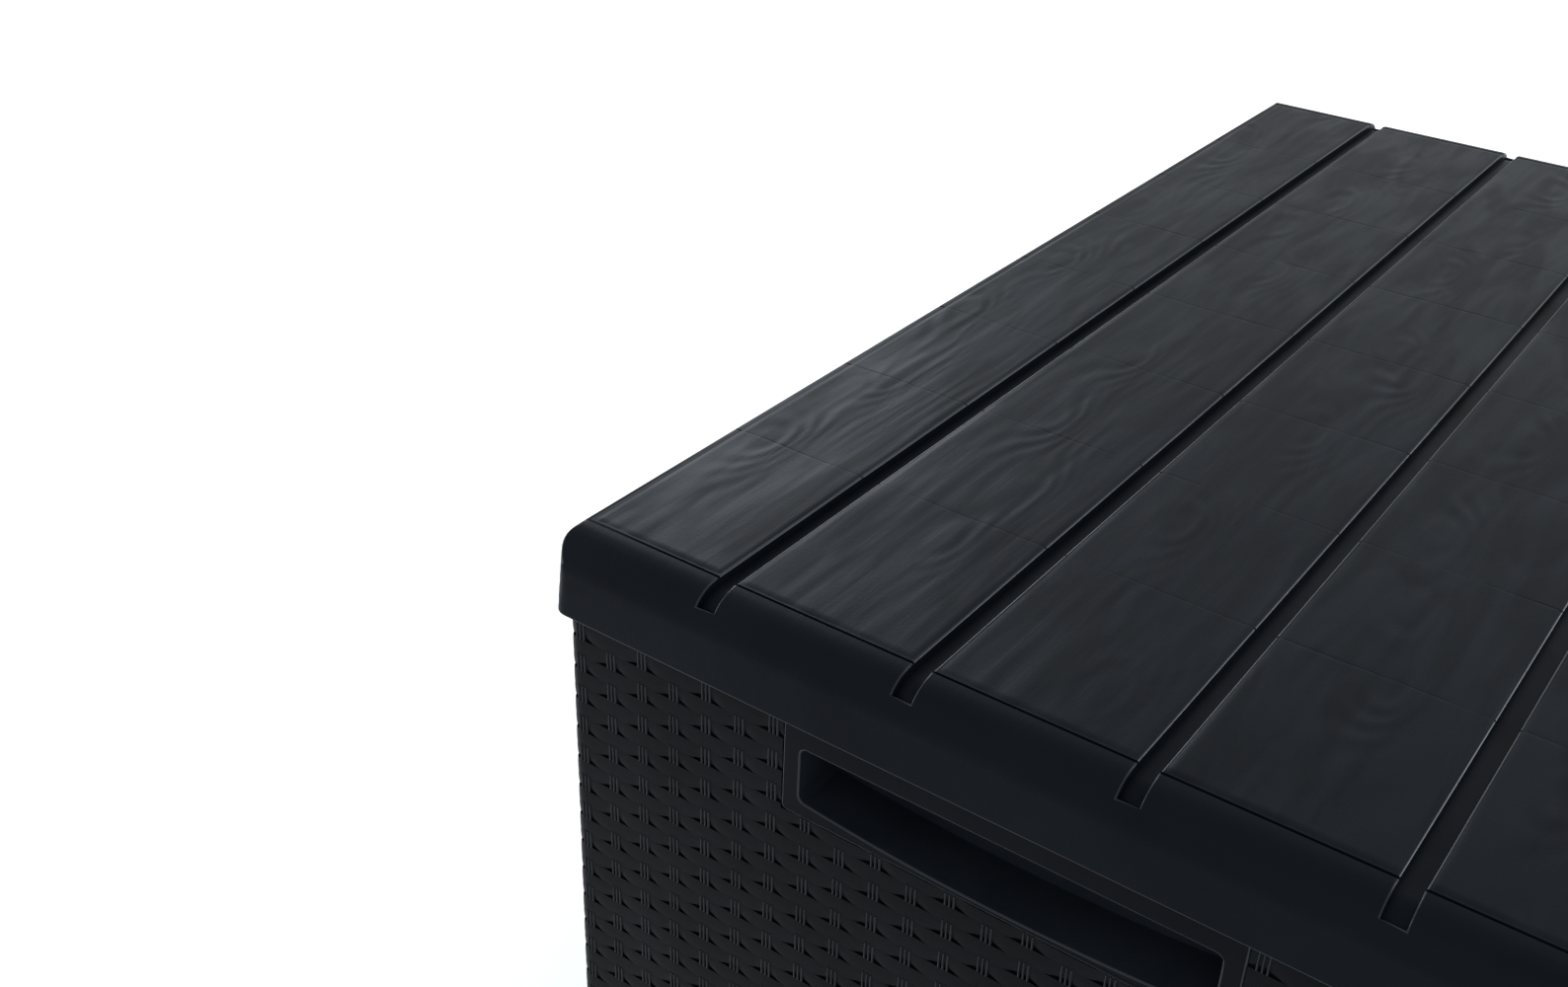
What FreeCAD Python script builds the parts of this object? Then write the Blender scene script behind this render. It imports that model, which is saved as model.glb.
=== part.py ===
import FreeCAD, Part
import math
import os

# Deck storage box: a flat-pack resin box with woven-look walls and a hinged plank lid.
# Frame: X along the box, front at -Y, hinges at +Y, Z up, origin on the ground
# under the centre of the overall bounding box. Millimetres.

V = FreeCAD.Vector

# ---- overall sizes -------------------------------------------------------
lid_length = 766.0
lid_width = 427.0
total_height = 460.0
lid_height = 36.5
lid_overhang = 5.0
lid_draft_deg = 3.5

# ---- lid shell -----------------------------------------------------------
lid_corner_r = 8.0
lid_end_round = 18.0
lid_side_round = 3.5
lid_skirt_wall = 3.0
lid_top_wall = 6.5
lid_edge_depth = 19.0
lid_edge_inset_x = 19.0
lid_edge_inset_y = 10.0
board_pitch = 90.5
board_count = 5
groove_width = 8.3
groove_depth = 4.5
groove_end_deg = 41.0
seam_pitch = 87.5
seam_width = 0.9
seam_depth = 0.5
end_line_inset = 20.0
end_line_width = 1.4
end_line_depth = 0.9

# ---- lid liner -----------------------------------------------------------
liner_thick = 2.0
liner_gap = 0.4
liner_corner_r = 4.0
liner_rib = 3.0
liner_rib_gap = 0.1
liner_rib_x = 350.0
liner_rib_y = 185.0

# ---- body walls ----------------------------------------------------------
weave_relief = 1.8
wall_thick = 3.2
wall_bottom = 8.0
rim_above_skirt = 13.0
body_corner_r = 3.0
end_return = 12.0
panel_gap = 0.2

# ---- base ----------------------------------------------------------------
base_floor_z = 14.0
base_thick = 3.0
base_rim_height = 13.0
base_gap = 0.4
base_rib = 3.0
base_rib_x = (-300.0, -150.0, 0.0, 150.0, 300.0)
base_rib_y = (-130.0, 0.0, 130.0)
foot_size = 40.0
foot_inset_x = 33.0
foot_inset_y = 30.0
foot_chamfer = 3.0

# ---- hand pockets --------------------------------------------------------
pocket_width = 175.0
pocket_top_drop = 13.7
pocket_corner_drop = 39.5
pocket_sag = 5.0
pocket_depth = 26.0
pocket_wall = 2.2
pocket_corner_r = 3.0
grip_hollow_rise = 5.7
grip_lip = 5.0
plate_margin = 8.3
plate_bottom_drop = 46.0
plate_tuck = 3.0
plate_corner_r = 3.0
pocket_hole_clear = 0.3

# ---- corner keys and their screws ---------------------------------------
key_thick = 3.0
key_leg_x = 32.0
key_leg_y = 20.0
key_bottom = 32.0
key_top_drop = 12.0
key_screw_low = 80.0
key_screw_top_drop = 55.5
key_screw_x = 22.5
key_screw_y = 12.5
screw_r = 1.9
screw_clear = 0.05
screw_head_r = 3.8
screw_head_h = 1.8
screw_bite = 2.4

# ---- hinges --------------------------------------------------------------
hinge_x = 240.0
hinge_width = 70.0
hinge_axis_out = 1.7
hinge_axis_drop = 6.0
knuckle_r = 4.5
knuckle_half = 17.0
knuckle_gap = 0.5
pin_r = 2.0
pin_clear = 0.05
pin_head_r = 3.2
pin_head_h = 1.5
leaf_thick = 4.0
leaf_bottom_drop = 42.0
leaf_notch_drop = 5.5
lid_leaf_out = 2.7
lid_leaf_top = 24.0
heel_reach = 8.0
heel_thick = 2.4
heel_width = 20.0
heel_deg = -14.5
body_screw_drops = (20.0, 34.0)
body_screw_x = 26.0
lid_screw_x = (-26.0, 0.0, 26.0)
lid_screw_z = 12.0
lid_screw_r = 1.7
lid_screw_end = 2.8

# ---- padlock tab and lug -------------------------------------------------
lock_out = 15.0
lock_half = 14.0
lock_plate_half = 20.0
lock_hole_r = 4.5
lock_hole_out = 7.5
lug_top_drop = 10.5
lug_thick = 6.5
lug_plate_bottom_drop = 34.0
lug_plate_top_drop = 8.0
lug_plate_thick = 3.0
lug_screw_drop = 27.0
lug_screw_x = 13.0
tab_thick = 6.0
tab_gap = 1.0
tab_out = 3.0
tab_top = 26.0
tab_clear = 0.2
lock_corner_r = 4.0
tab_screw_x = 13.0
tab_screw_z = 14.0

# ---- lid bumpers and liner screws ---------------------------------------
bumper_length = 16.0
bumper_gap = 0.2
bumper_x = 280.0
bumper_y = 120.0
liner_screw_y = (-150.0, -60.0, 60.0, 150.0)
liner_screw_x = 368.0
liner_screw_r = 1.5
liner_screw_head_r = 2.8
liner_screw_head_h = 1.4
liner_screw_bite = 7.0

# ---- derived -------------------------------------------------------------
skirt_z = total_height - lid_height
half_l = lid_length / 2.0
half_w = lid_width / 2.0
body_half_l = half_l - lid_overhang
body_half_w = half_w - lid_overhang
back_l = body_half_l - weave_relief
back_w = body_half_w - weave_relief
inner_l = back_l - wall_thick
inner_w = back_w - wall_thick
rim_z = skirt_z + rim_above_skirt
key_screw_top = skirt_z - key_screw_top_drop
key_screw_levels = (key_screw_low, (key_screw_low + key_screw_top) / 2.0, key_screw_top)
draft = math.radians(lid_draft_deg)
hinge_y = half_w + hinge_axis_out
hinge_z = skirt_z - hinge_axis_drop


def box(x0, x1, y0, y1, z0, z1):
    return Part.makeBox(x1 - x0, y1 - y0, z1 - z0, V(x0, y0, z0))


def rod(x, y, z, r, length, axis):
    return Part.makeCylinder(r, length, V(x, y, z), axis)


def moved(shape, x, y, z):
    copy = shape.copy()
    copy.translate(V(x, y, z))
    return copy


def flipped_x(shape):
    return shape.mirror(V(0, 0, 0), V(1, 0, 0))


def fuse_all(shapes):
    whole = shapes[0]
    for shape in shapes[1:]:
        whole = whole.fuse(shape)
    return whole.removeSplitter()


def upright_edges(shape):
    found = []
    for edge in shape.Edges:
        if len(edge.Vertexes) < 2:
            continue
        a = edge.Vertexes[0].Point
        b = edge.Vertexes[1].Point
        if abs(a.x - b.x) < 1e-6 and abs(a.y - b.y) < 1e-6:
            found.append(edge)
    return found


# ---- lid -----------------------------------------------------------------
def rounded_rect(half_x, half_y, r, z):
    flat = Part.makePlane(2 * half_x, 2 * half_y, V(-half_x, -half_y, z))
    prism = flat.extrude(V(0, 0, 1.0))
    prism = prism.makeFillet(r, upright_edges(prism))
    for face in prism.Faces:
        if abs(face.CenterOfMass.z - z) < 1e-6:
            return face.OuterWire
    return None


def edge_profile(half, r, height):
    """Points of one drafted wall turning into the top with radius r."""
    reach = (r + (height - r) * math.sin(draft)) / math.cos(draft)
    centre = half - reach
    top = height - r
    foot = (centre + r * math.cos(draft), top + r * math.sin(draft))
    mid_angle = (draft + math.pi / 2.0) / 2.0
    mid = (centre + r * math.cos(mid_angle), top + r * math.sin(mid_angle))
    return centre, foot, mid


def rounded_bar(half, r, height, span, along_x):
    """Bar with two drafted sides and two rounded top edges."""
    centre, foot, mid = edge_profile(half, r, height)

    def place(across, up):
        if along_x:
            return V(-span, across, skirt_z + up)
        return V(across, -span, skirt_z + up)

    low_r = place(half, 0.0)
    foot_r = place(foot[0], foot[1])
    mid_r = place(mid[0], mid[1])
    top_r = place(centre, height)
    low_l = place(-half, 0.0)
    foot_l = place(-foot[0], foot[1])
    mid_l = place(-mid[0], mid[1])
    top_l = place(-centre, height)
    edges = [
        Part.makeLine(low_l, low_r),
        Part.makeLine(low_r, foot_r),
        Part.Arc(foot_r, mid_r, top_r).toShape(),
        Part.makeLine(top_r, top_l),
        Part.Arc(top_l, mid_l, foot_l).toShape(),
        Part.makeLine(foot_l, low_l),
    ]
    face = Part.Face(Part.Wire(edges))
    if along_x:
        return face.extrude(V(2 * span, 0, 0))
    return face.extrude(V(0, 2 * span, 0))


def lid_outer():
    along_y = rounded_bar(half_l, lid_end_round, lid_height, half_w + 20, False)
    along_x = rounded_bar(half_w, lid_side_round, lid_height, half_l + 20, True)
    body = along_y.common(along_x)
    inset = (lid_height + 1.0) * math.tan(draft)
    low = rounded_rect(half_l, half_w, lid_corner_r, skirt_z)
    high = rounded_rect(half_l - inset, half_w - inset, lid_corner_r,
                        skirt_z + lid_height + 1.0)
    corners = Part.makeLoft([low, high], True, True)
    return body.common(corners)


def lid_grooves():
    """Full-length board grooves that run over the rounded ends and stop bluntly."""
    centre = edge_profile(half_l, lid_end_round, lid_height)[0]
    top_z = skirt_z + lid_height
    hub_z = top_z - lid_end_round
    inner_r = lid_end_round - groove_depth
    outer_r = lid_end_round + 3.0
    cutters = []
    for index in range(board_count - 1):
        y = (index - (board_count - 2) / 2.0) * board_pitch
        y0 = y - groove_width / 2.0
        slot = box(-centre, centre, y0, y0 + groove_width, top_z - groove_depth, top_z + 3.0)
        turn = 90.0 - groove_end_deg
        outer = Part.makeCylinder(outer_r, groove_width, V(0, 0, 0), V(0, 1, 0), turn)
        inner = Part.makeCylinder(inner_r, groove_width + 2, V(0, -1, 0), V(0, 1, 0))
        curve = outer.cut(inner).Solids[0]
        # the sector starts at +X and turns about +Y, so bring its start to straight up
        mid = curve.CenterOfMass
        now = math.degrees(math.atan2(mid.z, mid.x))
        want = 90.0 - turn / 2.0
        curve.rotate(V(0, 0, 0), V(0, 1, 0), now - want)
        right = moved(curve, centre, y0, hub_z)
        cutters.append(fuse_all([slot, right, flipped_x(right)]))
    return cutters


def lid_cavity():
    lower_l = half_l - lid_skirt_wall
    lower_w = half_w - lid_skirt_wall
    step = lid_height - lid_edge_depth
    inset = step * math.tan(draft)
    low = rounded_rect(lower_l, lower_w, 3.0, skirt_z)
    high = rounded_rect(lower_l - inset, lower_w - inset, 3.0, skirt_z + step)
    lower = Part.makeLoft([low, high], True, True)
    upper = box(-half_l + lid_edge_inset_x, half_l - lid_edge_inset_x,
                -half_w + lid_edge_inset_y, half_w - lid_edge_inset_y,
                skirt_z + step - 0.5, skirt_z + lid_height - lid_top_wall)
    return lower.fuse(upper)


def lid_lines():
    """Fine cross seams over all boards and the line near each end."""
    top_z = skirt_z + lid_height
    lines = []
    span = half_w + 2.0
    for index in range(-3, 4):
        x = index * seam_pitch
        lines.append(box(x - seam_width / 2, x + seam_width / 2, -span, span,
                         top_z - seam_depth, top_z + 1))
    for side in (-1, 1):
        x = side * (half_l - end_line_inset)
        lines.append(box(x - end_line_width / 2, x + end_line_width / 2, -span, span,
                         top_z - end_line_depth, top_z + 1))
    return lines


def lid_shell():
    shell = lid_outer().cut(lid_cavity())
    for cutter in lid_grooves():
        shell = shell.cut(cutter)
    for line in lid_lines():
        shell = shell.cut(line)
    for hole in lid_leaf_holes():
        shell = shell.cut(hole)
    for hole in tab_holes():
        shell = shell.cut(hole)
    for hole in liner_screw_holes():
        shell = shell.cut(hole)
    return shell.removeSplitter()


def lid_liner():
    step = lid_height - lid_edge_depth
    inset = step * math.tan(draft)
    lx = half_l - lid_skirt_wall - inset - liner_gap
    ly = half_w - lid_skirt_wall - inset - liner_gap
    z1 = skirt_z + step
    z2 = skirt_z + lid_height - lid_top_wall - liner_rib_gap
    plate = box(-lx, lx, -ly, ly, z1 - liner_thick, z1)
    parts = [plate.makeFillet(liner_corner_r, upright_edges(plate))]
    for index in (-1, 0, 1):
        y = index * board_pitch
        parts.append(box(-liner_rib_x, liner_rib_x, y - liner_rib / 2, y + liner_rib / 2,
                         z1 - 0.5, z2))
    for index in (-1, 0, 1):
        x = index * 2 * seam_pitch
        parts.append(box(x - liner_rib / 2, x + liner_rib / 2, -liner_rib_y, liner_rib_y,
                         z1 - 0.5, z2))
    liner = fuse_all(parts)
    for hole in liner_screw_holes():
        liner = liner.cut(hole)
    return liner


def liner_screw_spots():
    z = skirt_z + lid_height - lid_edge_depth - liner_thick
    spots = []
    for x in (-liner_screw_x, liner_screw_x):
        for y in liner_screw_y:
            spots.append((x, y, z))
    return spots


def liner_screw_holes():
    holes = []
    for x, y, z in liner_screw_spots():
        holes.append(rod(x, y, z - 1, liner_screw_r + screw_clear,
                         liner_screw_bite + liner_thick + 1.3, V(0, 0, 1)))
    return holes


def liner_screws():
    screws = []
    for x, y, z in liner_screw_spots():
        head = rod(x, y, z - liner_screw_head_h, liner_screw_head_r, liner_screw_head_h,
                   V(0, 0, 1))
        shank = rod(x, y, z - 0.2, liner_screw_r, liner_screw_bite + liner_thick + 0.2,
                    V(0, 0, 1))
        screws.append(fuse_all([head, shank]))
    return Part.makeCompound(screws)


def lid_bumpers():
    top = skirt_z + lid_height - lid_edge_depth - liner_thick
    low = rim_z + bumper_gap
    pads = []
    for x in (-bumper_x, bumper_x):
        for side in (-1, 1):
            y = side * (inner_w + wall_thick / 2)
            pads.append(box(x - bumper_length / 2, x + bumper_length / 2,
                            y - 1.5, y + 1.5, low, top))
    for side in (-1, 1):
        x = side * (inner_l + wall_thick / 2)
        for y in (-bumper_y, bumper_y):
            pads.append(box(x - 1.5, x + 1.5, y - bumper_length / 2, y + bumper_length / 2,
                            low, top))
    return Part.makeCompound(pads)


# ---- walls ---------------------------------------------------------------
def pocket_face(grow, x):
    """Outline of the hand pocket: straight top, gently arched lower lip."""
    half = pocket_width / 2.0 + grow
    top = skirt_z - pocket_top_drop + grow
    corner = skirt_z - pocket_corner_drop - grow
    low = corner - pocket_sag
    wire = Part.Wire([
        Part.makeLine(V(x, -half, top), V(x, half, top)),
        Part.makeLine(V(x, half, top), V(x, half, corner)),
        Part.Arc(V(x, half, corner), V(x, 0, low), V(x, -half, corner)).toShape(),
        Part.makeLine(V(x, -half, corner), V(x, -half, top)),
    ])
    return Part.Face(wire)


def along_x_edges(shape):
    found = []
    for edge in shape.Edges:
        if len(edge.Vertexes) < 2:
            continue
        a = edge.Vertexes[0].Point
        b = edge.Vertexes[1].Point
        if abs(a.y - b.y) < 1e-6 and abs(a.z - b.z) < 1e-6:
            found.append(edge)
    return found


def pocket_solid(grow, x0, x1):
    solid = pocket_face(grow, x0).extrude(V(x1 - x0, 0, 0))
    return solid.makeFillet(pocket_corner_r + grow, along_x_edges(solid))


def grip_hollow(grow, x0, x1):
    half = pocket_width / 2.0 - 3.0 + grow
    z0 = skirt_z - pocket_top_drop - 4.0
    z1 = skirt_z - pocket_top_drop + grip_hollow_rise + grow
    return box(x0, x1, -half, half, z0, z1)


def left_cup():
    front = -body_half_l
    x_in = front + pocket_depth
    outer = pocket_solid(pocket_wall, -back_l, x_in + pocket_wall)
    outer = outer.fuse(grip_hollow(pocket_wall, -back_l, x_in + pocket_wall))
    half = pocket_width / 2.0 + plate_margin
    plate = box(front, -back_l, -half, half, skirt_z - plate_bottom_drop - 1.5,
                skirt_z + plate_tuck)
    plate = plate.makeFillet(plate_corner_r, along_x_edges(plate))
    cup = fuse_all([plate, outer])
    cup = cup.cut(pocket_solid(0.0, front - 1, x_in))
    cup = cup.cut(grip_hollow(0.0, front + grip_lip, x_in))
    return cup.removeSplitter()


def corner_screw_rows():
    """Head seat point and inward direction of each corner screw, one corner at -X,-Y."""
    rows = []
    for z in key_screw_levels:
        rows.append((V(-inner_l + key_screw_x, -inner_w + key_thick, z), V(0, -1, 0)))
        rows.append((V(-inner_l + key_thick, -inner_w + key_screw_y, z), V(-1, 0, 0)))
    return rows


def four_corners(shape):
    right = flipped_x(shape)
    back = shape.mirror(V(0, 0, 0), V(0, 1, 0))
    back_right = right.mirror(V(0, 0, 0), V(0, 1, 0))
    return [shape, right, back, back_right]


def corner_screw_holes():
    holes = []
    for seat, way in corner_screw_rows():
        start = seat - way * 1.0
        holes += four_corners(rod(start.x, start.y, start.z, screw_r + screw_clear,
                                  1.0 + key_thick + screw_bite + 0.1, way))
    return holes


def corner_screws():
    screws = []
    for seat, way in corner_screw_rows():
        head_at = seat - way * screw_head_h
        head = rod(head_at.x, head_at.y, head_at.z, screw_head_r, screw_head_h, way)
        neck = seat - way * 0.2
        shank = rod(neck.x, neck.y, neck.z, screw_r, key_thick + screw_bite + 0.2, way)
        screws += four_corners(fuse_all([head, shank]))
    return Part.makeCompound(screws)


def corner_keys():
    x0 = -inner_l
    y0 = -inner_w
    top = skirt_z - key_top_drop
    leg_x = box(x0, x0 + key_leg_x, y0, y0 + key_thick, key_bottom, top)
    leg_y = box(x0, x0 + key_thick, y0, y0 + key_leg_y, key_bottom, top)
    keys = four_corners(fuse_all([leg_x, leg_y]))
    cut_keys = []
    holes = Part.makeCompound(corner_screw_holes())
    for key in keys:
        cut_keys.append(key.cut(holes))
    return Part.makeCompound(cut_keys)


def left_end_panel():
    outer = box(-back_l, -back_l + end_return, -back_w, back_w, wall_bottom, rim_z)
    corner = []
    for edge in upright_edges(outer):
        if edge.Vertexes[0].Point.x < -back_l + 1:
            corner.append(edge)
    outer = outer.makeFillet(body_corner_r, corner)
    inner = box(-inner_l, -back_l + end_return + 1, -inner_w, inner_w,
                wall_bottom - 1, rim_z + 1)
    panel = outer.cut(inner)
    grow = pocket_wall + pocket_hole_clear
    panel = panel.cut(pocket_solid(grow, -back_l - 1, -inner_l + 1))
    panel = panel.cut(grip_hollow(grow, -back_l - 1, -inner_l + 1))
    return panel.cut(Part.makeCompound(corner_screw_holes()))


def long_panel(side):
    x1 = back_l - end_return - panel_gap
    ys = sorted((side * inner_w, side * back_w))
    panel = box(-x1, x1, ys[0], ys[1], wall_bottom, rim_z)
    return panel.cut(Part.makeCompound(corner_screw_holes()))


def front_panel():
    panel = long_panel(-1)
    for hole in lug_holes():
        panel = panel.cut(hole)
    return panel


def rear_panel():
    panel = long_panel(1)
    for hole in body_leaf_holes():
        panel = panel.cut(hole)
    return panel


# ---- base ----------------------------------------------------------------
def base_tray():
    lx = inner_l - base_gap
    ly = inner_w - base_gap
    top = base_floor_z + base_thick
    tray = box(-lx, lx, -ly, ly, base_floor_z, top + base_rim_height)
    hollow = box(-lx + base_thick, lx - base_thick, -ly + base_thick, ly - base_thick,
                 top, top + base_rim_height + 1)
    parts = [tray.cut(hollow)]
    for x in base_rib_x:
        parts.append(box(x - base_rib / 2, x + base_rib / 2, -ly + 6, ly - 6,
                         wall_bottom, base_floor_z + 0.5))
    for y in base_rib_y:
        parts.append(box(-lx + 6, lx - 6, y - base_rib / 2, y + base_rib / 2,
                         wall_bottom, base_floor_z + 0.5))
    return fuse_all(parts)


def base_feet():
    feet = []
    for sx in (-1, 1):
        for sy in (-1, 1):
            x = sx * (inner_l - foot_inset_x)
            y = sy * (inner_w - foot_inset_y)
            h = foot_size / 2
            foot = box(x - h, x + h, y - h, y + h, 0, base_floor_z)
            low = []
            for edge in foot.Edges:
                if edge.BoundBox.ZMax < 0.01:
                    low.append(edge)
            feet.append(foot.makeChamfer(foot_chamfer, low))
    return Part.makeCompound(feet)


# ---- hinges --------------------------------------------------------------
def body_leaf_spots():
    spots = []
    for x in (-body_screw_x, body_screw_x):
        for drop in body_screw_drops:
            spots.append((x, skirt_z - drop))
    return spots


def body_leaf(x):
    half = hinge_width / 2.0
    y0 = back_w
    y1 = back_w + leaf_thick
    z0 = skirt_z - leaf_bottom_drop
    plate = box(x - half, x + half, y0, y1, z0, hinge_z)
    notch_half = knuckle_half + knuckle_gap
    web = box(x - half, x + half, y0, hinge_y, hinge_z - knuckle_r, hinge_z)
    ring = rod(x - half, hinge_y, hinge_z, knuckle_r, hinge_width, V(1, 0, 0))
    leaf = fuse_all([plate, web, ring])
    notch = box(x - notch_half, x + notch_half, y0 - 1, hinge_y + 10,
                hinge_z - leaf_notch_drop, hinge_z + 10)
    leaf = leaf.cut(notch)
    bore = rod(x - half - 1, hinge_y, hinge_z, pin_r + pin_clear, hinge_width + 2,
               V(1, 0, 0))
    leaf = leaf.cut(bore)
    for dx, z in body_leaf_spots():
        hole = rod(x + dx, y1 + 1, z, screw_r + screw_clear, leaf_thick + 2, V(0, -1, 0))
        leaf = leaf.cut(hole)
    return leaf


def body_leaf_holes():
    holes = []
    for x in (-hinge_x, hinge_x):
        for dx, z in body_leaf_spots():
            holes.append(rod(x + dx, back_w + 1, z, screw_r + screw_clear,
                             1 + screw_bite + 0.1, V(0, -1, 0)))
    return holes


def body_leaf_screws():
    screws = []
    y1 = back_w + leaf_thick
    for x in (-hinge_x, hinge_x):
        for dx, z in body_leaf_spots():
            head = rod(x + dx, y1 + screw_head_h, z, screw_head_r, screw_head_h,
                       V(0, -1, 0))
            shank = rod(x + dx, y1 + 0.2, z, screw_r, leaf_thick + screw_bite + 0.2,
                        V(0, -1, 0))
            screws.append(fuse_all([head, shank]))
    return Part.makeCompound(screws)


def lid_leaf(x):
    half = hinge_width / 2.0
    y1 = half_w + lid_leaf_out
    plate = box(x - half, x + half, half_w - 4, y1, skirt_z + 0.5, skirt_z + lid_leaf_top)
    web = box(x - knuckle_half, x + knuckle_half, half_w + 0.3, y1,
              hinge_z, skirt_z + 3)
    ring = rod(x - knuckle_half, hinge_y, hinge_z, knuckle_r, 2 * knuckle_half, V(1, 0, 0))
    heel = box(x - heel_width / 2, x + heel_width / 2, hinge_y + 2.5,
               hinge_y + heel_reach, hinge_z - heel_thick / 2, hinge_z + heel_thick / 2)
    heel.rotate(V(x, hinge_y, hinge_z), V(1, 0, 0), heel_deg)
    leaf = fuse_all([plate.cut(lid_outer()), web, ring, heel])
    bore = rod(x - half - 1, hinge_y, hinge_z, pin_r + pin_clear, hinge_width + 2,
               V(1, 0, 0))
    leaf = leaf.cut(bore)
    for dx in lid_screw_x:
        hole = rod(x + dx, y1 + 1, skirt_z + lid_screw_z, lid_screw_r + screw_clear, 12,
                   V(0, -1, 0))
        leaf = leaf.cut(hole)
    return leaf


def lid_leaf_holes():
    holes = []
    y_end = half_w - lid_screw_end
    for x in (-hinge_x, hinge_x):
        for dx in lid_screw_x:
            holes.append(rod(x + dx, half_w + 5, skirt_z + lid_screw_z,
                             lid_screw_r + screw_clear, 5 + lid_screw_end, V(0, -1, 0)))
    return holes


def lid_leaf_screws():
    screws = []
    y1 = half_w + lid_leaf_out
    depth = lid_leaf_out + lid_screw_end - 0.1
    for x in (-hinge_x, hinge_x):
        for dx in lid_screw_x:
            z = skirt_z + lid_screw_z
            head = rod(x + dx, y1 + screw_head_h, z, screw_head_r, screw_head_h,
                       V(0, -1, 0))
            shank = rod(x + dx, y1 + 0.2, z, lid_screw_r, depth + 0.2, V(0, -1, 0))
            screws.append(fuse_all([head, shank]))
    return Part.makeCompound(screws)


def hinge_pin(x):
    half = hinge_width / 2.0
    pin = rod(x - half, hinge_y, hinge_z, pin_r, hinge_width + 1.0, V(1, 0, 0))
    head = rod(x - half - pin_head_h, hinge_y, hinge_z, pin_head_r, pin_head_h, V(1, 0, 0))
    return fuse_all([pin, head])


# ---- padlock tab and lug -------------------------------------------------
def lug_spots():
    return [(-lug_screw_x, skirt_z - lug_screw_drop), (lug_screw_x, skirt_z - lug_screw_drop)]


def lock_lug():
    y_out = -half_w - lock_out
    z1 = skirt_z - lug_top_drop
    arm = box(-lock_half, lock_half, y_out, -back_w, z1 - lug_thick, z1)
    front = []
    for edge in upright_edges(arm):
        if edge.Vertexes[0].Point.y < y_out + 1:
            front.append(edge)
    arm = arm.makeFillet(lock_corner_r, front)
    plate = box(-lock_plate_half, lock_plate_half, -back_w - lug_plate_thick, -back_w,
                skirt_z - lug_plate_bottom_drop, skirt_z - lug_plate_top_drop)
    lug = fuse_all([arm, plate])
    y_hole = -half_w - lock_hole_out
    lug = lug.cut(rod(0, y_hole, z1 - lug_thick - 1, lock_hole_r, lug_thick + 2, V(0, 0, 1)))
    for x, z in lug_spots():
        lug = lug.cut(rod(x, -back_w - lug_plate_thick - 1, z, screw_r + screw_clear,
                          lug_plate_thick + 2, V(0, 1, 0)))
    return lug


def lug_holes():
    holes = []
    for x, z in lug_spots():
        holes.append(rod(x, -back_w - 1, z, screw_r + screw_clear, 1 + screw_bite + 0.1,
                         V(0, 1, 0)))
    return holes


def lug_screws():
    screws = []
    y0 = -back_w - lug_plate_thick
    for x, z in lug_spots():
        head = rod(x, y0 - screw_head_h, z, screw_head_r, screw_head_h, V(0, 1, 0))
        shank = rod(x, y0 - 0.2, z, screw_r, lug_plate_thick + screw_bite + 0.2, V(0, 1, 0))
        screws.append(fuse_all([head, shank]))
    return Part.makeCompound(screws)


def lock_tab():
    y_out = -half_w - lock_out
    y_plate = -half_w - tab_out
    z0 = skirt_z - lug_top_drop + tab_gap
    shelf = box(-lock_half, lock_half, y_out, -half_w - tab_clear, z0, z0 + tab_thick)
    front = []
    for edge in upright_edges(shelf):
        if edge.Vertexes[0].Point.y < y_out + 1:
            front.append(edge)
    shelf = shelf.makeFillet(lock_corner_r, front)
    drop = box(-lock_half, lock_half, y_plate, -half_w - tab_clear, z0, skirt_z + 3)
    plate = box(-lock_plate_half, lock_plate_half, y_plate, -half_w + 4,
                skirt_z + 0.5, skirt_z + tab_top)
    tab = fuse_all([shelf, drop, plate.cut(lid_outer())])
    y_hole = -half_w - lock_hole_out
    tab = tab.cut(rod(0, y_hole, z0 - 1, lock_hole_r, tab_thick + 2, V(0, 0, 1)))
    for x in (-tab_screw_x, tab_screw_x):
        tab = tab.cut(rod(x, y_plate - 1, skirt_z + tab_screw_z, lid_screw_r + screw_clear,
                          12, V(0, 1, 0)))
    return tab


def tab_holes():
    holes = []
    for x in (-tab_screw_x, tab_screw_x):
        holes.append(rod(x, -half_w - 5, skirt_z + tab_screw_z, lid_screw_r + screw_clear,
                         5 + lid_screw_end, V(0, 1, 0)))
    return holes


def tab_screws():
    screws = []
    y0 = -half_w - tab_out
    depth = tab_out + lid_screw_end - 0.1
    for x in (-tab_screw_x, tab_screw_x):
        z = skirt_z + tab_screw_z
        head = rod(x, y0 - screw_head_h, z, screw_head_r, screw_head_h, V(0, 1, 0))
        shank = rod(x, y0 - 0.2, z, lid_screw_r, depth + 0.2, V(0, 1, 0))
        screws.append(fuse_all([head, shank]))
    return Part.makeCompound(screws)


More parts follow.
